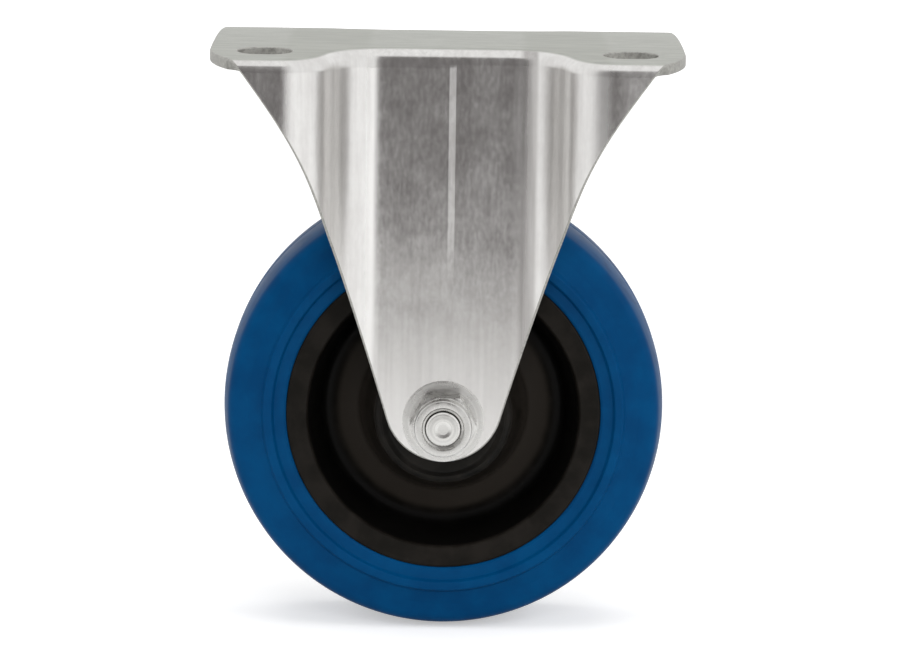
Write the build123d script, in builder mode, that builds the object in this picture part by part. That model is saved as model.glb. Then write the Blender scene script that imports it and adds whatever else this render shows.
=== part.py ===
"""A fixed castor: a pressed steel bracket with a slotted top plate, and a wheel
with an elastic tyre that runs on two ball bearings around a bolted axle.

The origin is the centre of the top plate's mounting face, +Z points up, the
wheel rolls along X and its axle lies along Y. The nut is on the front, -Y.
"""

import os
from math import asin, atan2, cos, degrees, radians, sin, tan

from build123d import *

# Bracket: top plate
plate_length = 105
plate_width = 85
sheet = 2.5
corner_radius = 12
slot_pitch_x = 80
slot_pitch_y = 60
slot_length = 12
slot_width = 9

# Bracket: legs, seen from above
leg_gap = 47
panel_width = 31
flute_run = 19.5
bend_radius = 3.4

# Bracket: legs, seen from the side
axle_drop = 83.8
foot_radius = 13.2
foot_rise = 4
leg_taper = 17
taper_height = 45
flare_radius = 96
root_radius = 6

# Tyre
wheel_diameter = 100
tread_land = 6
tread_width = 26
crown_radius = 46
shoulder_radius = 3.5
flank_lean = 8
flank_width = 33
ridge_width = 35
ridge_radius = 39.6
ridge_reach = 1.1

# Wheel core
rim_width = 32.4
rim_radius = 35.4
rim_wall = 4.9
rim_draft = 3.2
key_depth = 1.8
key_width = 17
web_edge_thickness = 6.4
web_hub_thickness = 13.2
web_fillet = 2
hub_radius = 15.7
hub_draft = 3.4
hub_width = 34.6
hub_bore_radius = 12

# Ball bearings
bearing_bore = 12
bearing_diameter = 28
bearing_width = 8
bearing_pitch = 20
ball_diameter = 4.76
ball_count = 8
race_step = 3.3
cage_thickness = 1.2
cage_width = 5.8
shield_thickness = 0.5
shield_recess = 0.9
shield_step = 0.6

# Dust caps
cap_width = 4.3
cap_wall = 1.2
cap_cone = 2.6
cap_plug = 0.9

# Axle bolt and nut
bolt_diameter = 8
bolt_overhang = 0.6
hex_width = 13
head_height = 5.3
nut_height = 9.5
nut_flange_diameter = 17.9
nut_flange_rim = 1.2
nut_flange_cone = 1.3
nut_collar_radius = 6.2
nut_collar_height = 2.6
nut_lip_height = 0.5
nut_lip_radius = 4.6
insert_radius = 5.3
insert_height = 1.6

# Sleeves around the axle
bush_radius = 8.2
spacer_radius = 8

# Clearances and broken edges
fit_gap = 0.05
ball_gap = 0.1
pocket_gap = 0.15
hole_gap = 0.2
cap_gap = 0.5
edge_break = 0.5

# Radii, and distances from the wheel's middle, that follow from the sizes
leg_inside = leg_gap / 2
leg_outside = leg_inside + sheet
hub_face = hub_width / 2
cap_face = hub_face + cap_width
bearing_face = hub_face - cap_plug
bearing_back = bearing_face - bearing_width
bearing_middle = (bearing_face + bearing_back) / 2
bearing_radius = bearing_diameter / 2
bore_radius = bearing_bore / 2
pitch_radius = bearing_pitch / 2
inner_race = pitch_radius - race_step / 2
outer_race = pitch_radius + race_step / 2
bolt_radius = bolt_diameter / 2
nut_face = leg_outside + nut_height
collar_base = nut_face - nut_collar_height
head_face = leg_outside + head_height

axle_centre = (0, 0, -axle_drop)
axle = Axis(axle_centre, (0, 1, 0))
wheel_middle = Plane(origin=axle_centre, x_dir=(1, 0, 0), z_dir=(0, -1, 0))
sides = {"front": -1, "back": 1}

os.makedirs("parts", exist_ok=True)


def export_piece(piece: Part, name: str) -> None:
    """Label a finished piece and write it as a STEP file.

    Args:
        piece: The finished solid or group of solids.
        name: The name of the piece and of its file.
    """
    piece.label = name
    export_step(piece, f"parts/{name}.step")


def half_section(side: int) -> Plane:
    """Return the plane in which a turned piece is drawn.

    Args:
        side: -1 for the front half of the axle, 1 for the back half.

    Returns:
        A plane on the axle: its x runs outward along the axle, its y is the radius.
    """
    return Plane(origin=axle_centre, x_dir=(0, side, 0), z_dir=(side, 0, 0))


def ring_section(inside: float, outside: float, near: float, far: float) -> None:
    """Draw a ring's rectangular section in the current sketch.

    Args:
        inside: Inner radius.
        outside: Outer radius.
        near: Place of one end face along the axle.
        far: Place of the other end face along the axle.
    """
    with Locations(((near + far) / 2, (inside + outside) / 2)):
        Rectangle(far - near, outside - inside)


def bend_plan(inset: float) -> Sketch:
    """Draw the closed plan of the bent sheet.

    The long sides run straight past the plate's ends, and sweep in through an
    S-shaped flute to the flat panel of each leg.

    Args:
        inset: Distance inside the sheet's outer face.

    Returns:
        The plan as one face.
    """
    flute_rise = plate_width / 2 - leg_outside
    turn = 2 * degrees(atan2(flute_rise, flute_run))
    flute_radius = flute_run / (2 * sin(radians(turn)))
    with BuildSketch() as plan:
        with BuildLine():
            panel = Line((0, leg_outside - inset), (panel_width / 2, leg_outside - inset))
            inner = JernArc(panel @ 1, (1, 0), flute_radius + inset, turn)
            outer = JernArc(inner @ 1, inner % 1, flute_radius - inset, -turn)
            edge = Line(outer @ 1, (plate_length, plate_width / 2 - inset))
            Line(edge @ 1, (plate_length, 0))
            mirror(about=Plane.YZ)
            mirror(about=Plane.XZ)
        make_face()
    return plan.sketch


def crown_section(top: float) -> Sketch:
    """Draw half the section of the cone that rounds a hexagon's corners.

    Args:
        top: Place of the hexagon's outer face along the axle.

    Returns:
        A face to revolve about the axle and intersect with the hexagon.
    """
    top_radius = hex_width / 2 - edge_break / 2
    with BuildSketch() as section:
        with BuildLine():
            crown_base = top - (hex_width - top_radius) * tan(radians(30))
            Polyline(
                (top, top_radius),
                (crown_base, hex_width),
                (0, hex_width),
                (0, 0),
                (top, 0),
                close=True,
            )
        make_face()
    return section.sketch


# Space between the legs, with the inside of the bend
with BuildPart() as leg_space:
    with BuildSketch(Plane.XY.offset(-sheet)):
        add(bend_plan(sheet))
    extrude(amount=-2 * axle_drop)
    top_edges = leg_space.edges().group_by(Axis.Z)[-1]
    bend_edges = top_edges.filter_by(lambda edge: abs(edge.center().X) < plate_length / 2)
    fillet(bend_edges, bend_radius - sheet)

# Outline of the blank: the legs' side view, and the plate with its rounded corners
with BuildPart() as blank_outline:
    with BuildSketch(Plane.XZ):
        with BuildLine():
            foot = JernArc((0, foot_rise - foot_radius - axle_drop), (1, 0), foot_radius, 90 - leg_taper)
            side_length = (taper_height - axle_drop - (foot @ 1).Y) / cos(radians(leg_taper))
            side_edge = Line(foot @ 1, (foot @ 1) + (foot % 1) * side_length)
            flare_height = axle_drop - taper_height + flare_radius * sin(radians(leg_taper))
            flare_angle = degrees(asin((flare_height - root_radius) / (flare_radius - root_radius)))
            flare = JernArc(side_edge @ 1, side_edge % 1, flare_radius, leg_taper - flare_angle)
            root = JernArc(flare @ 1, flare % 1, root_radius, flare_angle - 90)
            Line(root @ 1, (0, 0))
            mirror(about=Plane.YZ)
        make_face()
    extrude(amount=plate_width, both=True)
    with BuildSketch():
        RectangleRounded(plate_length, plate_width, corner_radius)
        Rectangle(plate_length, plate_width - 2 * bend_radius, mode=Mode.INTERSECT)
    extrude(amount=-sheet)

# Bracket: one pressed sheet
with BuildPart() as bracket:
    with BuildSketch():
        add(bend_plan(0))
    extrude(amount=-2 * axle_drop)
    top_edges = bracket.edges().group_by(Axis.Z)[-1]
    bend_edges = top_edges.filter_by(lambda edge: abs(edge.center().X) < plate_length / 2)
    fillet(bend_edges, bend_radius)
    add(leg_space.part, mode=Mode.SUBTRACT)
    add(blank_outline.part, mode=Mode.INTERSECT)
    with BuildSketch():
        with GridLocations(slot_pitch_x, slot_pitch_y, 2, 2):
            SlotOverall(slot_length, slot_width)
    extrude(amount=-sheet, mode=Mode.SUBTRACT)
    with BuildSketch(wheel_middle):
        Circle(bolt_radius + hole_gap)
    extrude(amount=plate_width, both=True, mode=Mode.SUBTRACT)
export_piece(bracket.part, "bracket")

# Axle bolt: hexagon head on the back leg, shank through both legs and the nut
with BuildPart() as axle_bolt:
    with BuildSketch(wheel_middle.offset(-leg_outside)):
        RegularPolygon(hex_width / 2, 6, major_radius=False)
    extrude(amount=-head_height)
    with BuildSketch(half_section(sides["back"])):
        add(crown_section(head_face))
    revolve(axis=axle, mode=Mode.INTERSECT)
    with BuildSketch(wheel_middle.offset(nut_face + bolt_overhang)):
        Circle(bolt_radius)
    extrude(amount=-(nut_face + bolt_overhang + leg_outside))
    chamfer(axle_bolt.edges().group_by(Axis.Y)[0], length=edge_break)
export_piece(axle_bolt.part, "axle_bolt")

# Lock nut: hexagon on a flange, with a round collar closed over a locking ring
with BuildPart() as lock_nut:
    with BuildSketch(wheel_middle.offset(leg_outside)):
        RegularPolygon(hex_width / 2, 6, major_radius=False)
    extrude(amount=collar_base - leg_outside)
    with BuildSketch(half_section(sides["front"])):
        add(crown_section(collar_base))
    revolve(axis=axle, mode=Mode.INTERSECT)
    with BuildSketch(half_section(sides["front"])):
        with BuildLine():
            cone_base = leg_outside + nut_flange_rim
            Polyline(
                (leg_outside, nut_flange_diameter / 2),
                (cone_base, nut_flange_diameter / 2),
                (cone_base + nut_flange_cone, hex_width / 2),
                (collar_base, hex_width / 2),
                (collar_base, 0),
                (leg_outside, 0),
                close=True,
            )
        make_face()
        ring_section(0, nut_collar_radius, collar_base, nut_face)
    revolve(axis=axle)
    fillet(lock_nut.edges().group_by(Axis.Y)[0], edge_break)
    with BuildSketch(half_section(sides["front"])):
        lip_base = nut_face - nut_lip_height
        ring_section(0, bolt_radius + fit_gap, leg_outside, nut_face)
        ring_section(0, insert_radius, lip_base - insert_height, lip_base)
        ring_section(0, nut_lip_radius, lip_base, nut_face)
    revolve(axis=axle, mode=Mode.SUBTRACT)
export_piece(lock_nut.part, "lock_nut")

# Locking ring in the nut's collar
with BuildPart() as nut_insert:
    with BuildSketch(half_section(sides["front"])):
        insert_face = nut_face - nut_lip_height - fit_gap
        insert_back = insert_face - insert_height + 2 * fit_gap
        ring_section(bolt_radius + fit_gap, insert_radius - fit_gap, insert_back, insert_face)
    revolve(axis=axle)
export_piece(nut_insert.part, "nut_insert")

# Axle tube between the legs
with BuildPart() as axle_tube:
    with BuildSketch(half_section(sides["back"])):
        ring_section(bolt_radius + hole_gap, bore_radius - fit_gap, -leg_inside, leg_inside)
    revolve(axis=axle)
export_piece(axle_tube.part, "axle_tube")

# Spacer between the inner rings
with BuildPart() as bearing_spacer:
    with BuildSketch(half_section(sides["back"])):
        ring_section(bore_radius, spacer_radius, -bearing_back, bearing_back)
    revolve(axis=axle)
export_piece(bearing_spacer.part, "bearing_spacer")

# Tyre: crowned tread, leaning flanks with a raised ring, keyed on to the core
with BuildPart() as tyre:
    with BuildSketch(half_section(sides["back"])):
        with BuildLine():
            crown_drop = degrees(asin((tread_width - tread_land) / 2 / crown_radius))
            land = Line((0, wheel_diameter / 2), (tread_land / 2, wheel_diameter / 2))
            crown = JernArc(land @ 1, (1, 0), crown_radius, -crown_drop)
            shoulder = JernArc(crown @ 1, crown % 1, shoulder_radius, crown_drop + flank_lean - 90)
            upper_flank = Line(shoulder @ 1, (flank_width / 2, ridge_radius + ridge_reach))
            ridge_top = (ridge_width / 2, ridge_radius)
            ridge_foot = (flank_width / 2, ridge_radius - ridge_reach)
            ridge = ThreePointArc(upper_flank @ 1, ridge_top, ridge_foot)
            Polyline(
                ridge @ 1,
                (rim_width / 2, rim_radius + fit_gap),
                (key_width / 2 + key_depth, rim_radius + fit_gap),
                (key_width / 2, rim_radius - key_depth + fit_gap),
                (0, rim_radius - key_depth + fit_gap),
            )
            mirror(about=Plane.YZ)
        make_face()
    revolve(axis=axle)
export_piece(tyre.part, "tyre")

# Wheel core: channelled rim, web that thickens towards the hub, bearing seats
with BuildPart() as wheel_core:
    with BuildSketch(half_section(sides["back"])):
        with BuildLine():
            Polyline(
                (0, rim_radius - key_depth),
                (key_width / 2, rim_radius - key_depth),
                (key_width / 2 + key_depth, rim_radius),
                (rim_width / 2, rim_radius),
                (rim_width / 2, rim_radius - rim_wall),
                (web_edge_thickness / 2, rim_radius - rim_wall - rim_draft),
                (web_hub_thickness / 2, hub_radius + hub_draft),
                (hub_face, hub_radius),
                (hub_face, bearing_radius + fit_gap),
                (bearing_back, bearing_radius + fit_gap),
                (bearing_back, hub_bore_radius),
                (0, hub_bore_radius),
            )
            mirror(about=Plane.YZ)
        core_face = make_face()
        web_corners = core_face.vertices().filter_by(
            lambda corner: hub_radius < corner.Y < rim_radius - rim_wall
        )
        fillet(web_corners, web_fillet)
        rim_corners = core_face.vertices().filter_by(
            lambda corner: abs(corner.X) > rim_width / 2 - fit_gap and corner.Y < rim_radius
        )
        chamfer(rim_corners, edge_break)
    revolve(axis=axle)
export_piece(wheel_core.part, "wheel_core")

# Each side of the wheel: bush, dust cap and ball bearing
for side_name, side in sides.items():
    bearing_centre = (0, side * bearing_middle, -axle_drop)
    bearing_plane = Plane(origin=bearing_centre, x_dir=(1, 0, 0), z_dir=(0, side, 0))

    # Bush between the inner ring and the leg
    with BuildPart() as bush:
        with BuildSketch(half_section(side)):
            ring_section(bore_radius, bush_radius, bearing_face, leg_inside)
        revolve(axis=axle)
    export_piece(bush.part, f"{side_name}_bush")

    # Dust cap: a cone pressed into the hub's mouth
    with BuildPart() as dust_cap:
        with BuildSketch(half_section(side)):
            cap_rim = hub_radius - edge_break
            plug_radius = bearing_radius
            with BuildLine():
                Polyline(
                    (hub_face, plug_radius),
                    (hub_face, cap_rim),
                    (hub_face + cap_wall, cap_rim),
                    (cap_face, cap_rim - cap_cone),
                    (cap_face, bush_radius + cap_gap),
                    (cap_face - cap_wall, bush_radius + cap_gap),
                    (cap_face - cap_wall, cap_rim - cap_cone - cap_wall),
                    (hub_face, plug_radius - cap_wall),
                    (bearing_face + fit_gap, plug_radius - cap_wall),
                    (bearing_face + fit_gap, plug_radius),
                    close=True,
                )
            make_face()
        revolve(axis=axle)
    export_piece(dust_cap.part, f"{side_name}_dust_cap")

    # Outer ring: ball track in the bore, a recess for a shield at each end
    with BuildPart() as outer_ring:
        with BuildSketch(half_section(side)):
            ring_section(outer_race, bearing_radius, bearing_back, bearing_face)
            chamfer(vertices().group_by(Axis.Y)[-1], edge_break)
            with Locations((bearing_middle, pitch_radius)):
                Circle(ball_diameter / 2 + ball_gap, mode=Mode.SUBTRACT)
            with Locations((bearing_back, outer_race), (bearing_face, outer_race)):
                Rectangle(2 * shield_recess, 2 * shield_step, mode=Mode.SUBTRACT)
        revolve(axis=axle)
    export_piece(outer_ring.part, f"{side_name}_outer_ring")

    # Inner ring: ball track on the outside
    with BuildPart() as inner_ring:
        with BuildSketch(half_section(side)):
            ring_section(bore_radius, inner_race, bearing_back, bearing_face)
            chamfer(vertices().group_by(Axis.Y)[0], edge_break)
            with Locations((bearing_middle, pitch_radius)):
                Circle(ball_diameter / 2 + ball_gap, mode=Mode.SUBTRACT)
        revolve(axis=axle)
    export_piece(inner_ring.part, f"{side_name}_inner_ring")

    # Balls on their pitch circle
    with BuildPart(bearing_plane) as balls:
        with PolarLocations(pitch_radius, ball_count):
            Sphere(ball_diameter / 2)
    export_piece(balls.part, f"{side_name}_balls")

    # Cage: a ring with a round pocket for each ball
    with BuildPart(bearing_plane) as cage:
        Cylinder(pitch_radius + cage_thickness / 2, cage_width)
        Cylinder(pitch_radius - cage_thickness / 2, cage_width, mode=Mode.SUBTRACT)
        pocket_radius = ball_diameter / 2 + pocket_gap
        with PolarLocations(pitch_radius, ball_count):
            Cylinder(pocket_radius, 2 * cage_thickness, rotation=(0, 90, 0), mode=Mode.SUBTRACT)
    export_piece(cage.part, f"{side_name}_cage")

    # Shields in the recesses of the outer ring
    shield_places = {"inner": bearing_back + shield_recess, "outer": bearing_face - shield_recess}
    for place_name, place in shield_places.items():
        shield_outside = place + (shield_thickness if place_name == "outer" else -shield_thickness)
        shield_radius = outer_race + shield_step - fit_gap
        with BuildPart() as shield:
            with BuildSketch(half_section(side)):
                ring_section(inner_race + cap_gap, shield_radius, place, shield_outside)
            revolve(axis=axle)
        export_piece(shield.part, f"{side_name}_{place_name}_shield")
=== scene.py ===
"""Looks of a fixed castor: a pressed steel fork under a slotted plate, and a blue
elastic tyre on a black core that turns on ball bearings around a bolted axle.

Everything is in metres in the row frame: +Z up, the wheel rolls along X, the
axle lies along Y and the nut is on the front, -Y.
"""

import logging
import math
from collections.abc import Callable, Iterable, Sequence
from dataclasses import dataclass, field
from enum import Enum
from typing import Union

import bmesh
import bpy
from mathutils import Euler, Matrix, Vector
from mathutils.geometry import delaunay_2d_cdt


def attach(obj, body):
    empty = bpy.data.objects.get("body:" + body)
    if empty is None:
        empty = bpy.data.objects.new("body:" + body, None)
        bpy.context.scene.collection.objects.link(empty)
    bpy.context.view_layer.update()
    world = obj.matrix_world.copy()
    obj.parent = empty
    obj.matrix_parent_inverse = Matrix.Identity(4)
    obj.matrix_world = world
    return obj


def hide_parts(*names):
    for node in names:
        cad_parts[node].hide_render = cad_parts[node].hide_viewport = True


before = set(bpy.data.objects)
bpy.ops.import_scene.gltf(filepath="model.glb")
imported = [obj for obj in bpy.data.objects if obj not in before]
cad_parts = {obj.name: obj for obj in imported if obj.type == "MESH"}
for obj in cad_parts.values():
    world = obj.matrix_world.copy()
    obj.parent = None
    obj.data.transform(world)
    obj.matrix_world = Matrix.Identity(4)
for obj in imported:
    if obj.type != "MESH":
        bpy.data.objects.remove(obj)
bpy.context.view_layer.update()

LOG = logging.getLogger("castor")
MM = 0.001
AXLE_HEIGHT = -0.0838
FLOOR_HEIGHT = -0.1338

# Where most of a noise's values lie
NOISE_LOW, NOISE_HIGH = 0.3, 0.7

Number = Union[int, float]
Colour = tuple[float, float, float, float]
Fade = tuple[float, float]
Band = tuple[float, float, float, float]
Stop = tuple[float, Colour]
Stretch = tuple[float, float, float]


def colour(code: str) -> Colour:
    """Turn a written colour into linear light.

    Args:
        code: Six hexadecimal digits, as seen on a screen.

    Returns:
        Red, green, blue and a full alpha.
    """
    parts = [int(code[i:i + 2], 16) / 255 for i in (0, 2, 4)]
    linear = [c / 12.92 if c <= 0.04045 else ((c + 0.055) / 1.055) ** 2.4 for c in parts]
    return (linear[0], linear[1], linear[2], 1.0)


class Side(Enum):
    """The two ends of the axle."""

    FRONT = -1
    BACK = 1

    @property
    def word(self) -> str:
        """The name that a piece of this side starts with."""
        return self.name.lower()


class Body(Enum):
    """The moving groups of the castor."""

    FORK = "fork"
    WHEEL = "wheel"


# Shader wires


class Wire:
    """A value inside a finish, which does arithmetic by adding Math nodes."""

    def __init__(self, bench: "Bench", socket: bpy.types.NodeSocket) -> None:
        """Keep the socket and the bench that its nodes are made on."""
        self.bench = bench
        self.socket = socket

    def _pair(self, operation: str, first: "Feed", second: "Feed") -> "Wire":
        """Add a Math node for two inputs.

        Args:
            operation: Blender's name of the operation.
            first: First input.
            second: Second input.

        Returns:
            The node's result.
        """
        return self.bench.node("ShaderNodeMath", {"operation": operation}, {0: first, 1: second})

    def __add__(self, other: "Feed") -> "Wire":
        """This value plus another."""
        return self._pair("ADD", self, other)

    def __radd__(self, other: "Feed") -> "Wire":
        """Another value plus this one."""
        return self._pair("ADD", other, self)

    def __sub__(self, other: "Feed") -> "Wire":
        """This value minus another."""
        return self._pair("SUBTRACT", self, other)

    def __rsub__(self, other: "Feed") -> "Wire":
        """Another value minus this one."""
        return self._pair("SUBTRACT", other, self)

    def __mul__(self, other: "Feed") -> "Wire":
        """This value times another."""
        return self._pair("MULTIPLY", self, other)

    def __rmul__(self, other: "Feed") -> "Wire":
        """Another value times this one."""
        return self._pair("MULTIPLY", other, self)

    def __truediv__(self, other: "Feed") -> "Wire":
        """This value divided by another."""
        return self._pair("DIVIDE", self, other)

    def __rtruediv__(self, other: "Feed") -> "Wire":
        """Another value divided by this one."""
        return self._pair("DIVIDE", other, self)

    def __or__(self, other: "Feed") -> "Wire":
        """The larger of this value and another."""
        return self._pair("MAXIMUM", self, other)

    def __ror__(self, other: "Feed") -> "Wire":
        """The larger of another value and this one."""
        return self._pair("MAXIMUM", other, self)

    def between(self, low: Number, high: Number, start: Number = 0.0, end: Number = 1.0) -> "Wire":
        """Ease from one level to another while this value passes a band.

        Args:
            low: Where the change begins.
            high: Where the change ends.
            start: Result below the band.
            end: Result above the band.

        Returns:
            The eased value.
        """
        return self.bench.node(
            "ShaderNodeMapRange",
            {"interpolation_type": "SMOOTHSTEP", "clamp": True},
            {"Value": self, "From Min": low, "From Max": high, "To Min": start, "To Max": end},
        )

    def spread(self, start: Number = 0.0, end: Number = 1.0) -> "Wire":
        """Spread a noise's usual values between two levels."""
        return self.between(NOISE_LOW, NOISE_HIGH, start, end)

    def fade(self, places: Sequence[Number]) -> "Wire":
        """Ease from 1 down to 0 between two places."""
        return self.between(places[0], places[1], 1.0, 0.0)

    def band(self, places: Sequence[Number]) -> "Wire":
        """Ease up to 1 between the first two places and back to 0 between the last two."""
        return self.between(places[0], places[1]) * self.fade(places[2:])


Feed = Union[Wire, Number, Sequence[float]]


class Bench:
    """Where the nodes of one finish, or of the studio's air, are made and joined."""

    def __init__(self, owner: bpy.types.Material | bpy.types.World) -> None:
        """Clear the owner's nodes.

        Args:
            owner: The material or world to build.
        """
        owner.use_nodes = True
        self.tree = owner.node_tree
        self.tree.nodes.clear()

    def plug(self, socket: bpy.types.NodeSocket, value: Feed) -> None:
        """Join a wire to a socket, or set the socket to a plain value.

        Args:
            socket: The input to feed.
            value: A wire, a number or a colour or vector.
        """
        if isinstance(value, Wire):
            self.tree.links.new(value.socket, socket)
        else:
            socket.default_value = value

    def node(
        self,
        kind: str,
        settings: dict[str, object] | None = None,
        feeds: dict[int | str, Feed] | None = None,
        result: int | str | None = 0,
    ) -> Wire | None:
        """Add one node of any type.

        Args:
            kind: Blender's type name of the node.
            settings: Options set before anything is joined; "stops" holds a ramp's
                places and colours.
            feeds: What each input gets, by its number or name.
            result: Which output to return, or None for a node without one.

        Returns:
            The chosen output.
        """
        made = self.tree.nodes.new(kind)
        for name, value in (settings or {}).items():
            if name == "stops":
                ramp = made.color_ramp
                while len(ramp.elements) < len(value):
                    ramp.elements.new(1.0)
                for element, (place, shade) in zip(ramp.elements, value):
                    element.position = place
                    element.color = shade
            else:
                setattr(made, name, value)
        for key, value in (feeds or {}).items():
            self.plug(made.inputs[key], value)
        return None if result is None else Wire(self, made.outputs[result])

    def mix(self, factor: Feed, first: Feed, second: Feed, blend: str = "MIX") -> Wire:
        """Mix two colours.

        Args:
            factor: 0 for the first colour, 1 for the second.
            first: Colour under.
            second: Colour over.
            blend: Blender's name of the blend.

        Returns:
            The mixed colour.
        """
        settings = {"data_type": "RGBA", "blend_type": blend, "clamp_factor": True}
        return self.node("ShaderNodeMix", settings, {0: factor, 6: first, 7: second}, 2)

    def vector(self, operation: str, first: Feed, second: Feed) -> Wire:
        """Combine two vectors.

        Args:
            operation: Blender's name of the operation.
            first: First vector.
            second: Second vector.

        Returns:
            The combined vector.
        """
        return self.node("ShaderNodeVectorMath", {"operation": operation}, {0: first, 1: second})

    def place(self) -> Wire:
        """The point on the piece, in metres, as it moves with the piece."""
        return self.node("ShaderNodeTexCoord", result="Object")

    def axes(self, point: Wire) -> tuple[Wire, Wire, Wire]:
        """Split a vector into its three numbers.

        Args:
            point: The vector.

        Returns:
            Its X, Y and Z.
        """
        split = self.node("ShaderNodeSeparateXYZ", feeds={0: point}, result="X")
        outputs = split.socket.node.outputs
        return split, Wire(self, outputs["Y"]), Wire(self, outputs["Z"])

    def radius(self, point: Wire) -> Wire:
        """Distance of a point from the axle.

        Args:
            point: The point in the row frame.

        Returns:
            The distance in metres.
        """
        shifted = self.vector("SUBTRACT", point, (0, 0, AXLE_HEIGHT))
        flat = self.vector("MULTIPLY", shifted, (1, 0, 1))
        return self.node("ShaderNodeVectorMath", {"operation": "LENGTH"}, {0: flat}, "Value")

    def noise(self, point: Feed, size: Number, detail: Number = 3.0, rough: Number = 0.55) -> Wire:
        """Soft random cloud.

        Args:
            point: Where it is read.
            size: Size of its largest patches, in metres where the point is.
            detail: Number of finer layers.
            rough: Strength of the finer layers.

        Returns:
            The cloud's value, about 0.5 on average.
        """
        feeds = {"Vector": point, "Scale": 1 / size, "Detail": detail, "Roughness": rough}
        return self.node("ShaderNodeTexNoise", feeds=feeds)

    def stretched(self, point: Wire, by: Sequence[float]) -> Wire:
        """Scale a point's axes, so that what is read there is stretched.

        Args:
            point: The point.
            by: Factor along each axis.

        Returns:
            The scaled point.
        """
        return self.vector("MULTIPLY", point, by)

    def bump(self, height: Wire, depth: Number, strength: Number = 1.0) -> Wire:
        """Turn a height into a normal.

        Args:
            height: Height from 0 to 1.
            depth: Depth of the relief in metres.
            strength: Share of the effect that shows.

        Returns:
            The normal.
        """
        feeds = {"Strength": strength, "Distance": depth, "Height": height}
        return self.node("ShaderNodeBump", feeds=feeds, result="Normal")

    def rings(self, point: Wire, radius: Wire, size: Number, rough: Number = 0.5) -> Wire:
        """Noise that is alike all the way round the axle, as a lathe or mould leaves it.

        Args:
            point: The point in the row frame.
            radius: Its distance from the axle.
            size: Size of the largest rings, in metres.
            rough: Strength of the finer rings.

        Returns:
            The noise's value.
        """
        _, along, _ = self.axes(point)
        section = self.node("ShaderNodeCombineXYZ", feeds={0: radius, 1: along, 2: 0.0})
        return self.noise(section, size, 2, rough)

    def shaded(self, base: Colour, level: Wire) -> Wire:
        """A colour that a level makes darker or lighter."""
        grey = self.node("ShaderNodeCombineColor", feeds={0: level, 1: level, 2: level})
        return self.mix(1.0, base, grey, "MULTIPLY")

    def seen(self, eye: Number, gloss: Number) -> Wire:
        """Levels for what is seen directly or in gloss and glass, 0 for any other light.

        Args:
            eye: Level that the camera sees.
            gloss: Level that gloss and glass see.

        Returns:
            The level.
        """
        path = self.node("ShaderNodeLightPath", result="Is Camera Ray")
        outputs = path.socket.node.outputs
        mirrored = Wire(self, outputs["Is Glossy Ray"]) | Wire(self, outputs["Is Transmission Ray"])
        return path * eye + mirrored * gloss

    def output(self, shader: Wire, kind: str = "ShaderNodeOutputMaterial") -> None:
        """Join a shader to the output.

        Args:
            shader: The finished shader.
            kind: Blender's type name of the output.
        """
        self.node(kind, feeds={"Surface": shader}, result=None)

    def surface(self, feeds: dict[str, Feed]) -> None:
        """Finish with a Principled shader.

        Args:
            feeds: What each of its inputs gets, by name.
        """
        self.output(self.node("ShaderNodeBsdfPrincipled", feeds=feeds, result="BSDF"))


# Finishes


@dataclass(frozen=True)
class Finish:
    """A surface treatment, made into a material once and kept by name."""

    name: str

    def material(self) -> bpy.types.Material:
        """The finish's material, built at its first use.

        Returns:
            The material.
        """
        known = bpy.data.materials.get(self.name)
        if known is not None:
            return known
        made = bpy.data.materials.new(self.name)
        self.paint(Bench(made))
        return made

    def paint(self, bench: Bench) -> None:
        """Build the nodes of the finish.

        Args:
            bench: Where the nodes are made.
        """
        raise NotImplementedError

    def dress(self, thing: bpy.types.Object) -> None:
        """Give every material slot of an object this finish.

        Args:
            thing: The object to dress.
        """
        if not thing.material_slots:
            thing.data.materials.append(self.material())
        for slot in thing.material_slots:
            slot.material = self.material()


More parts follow.
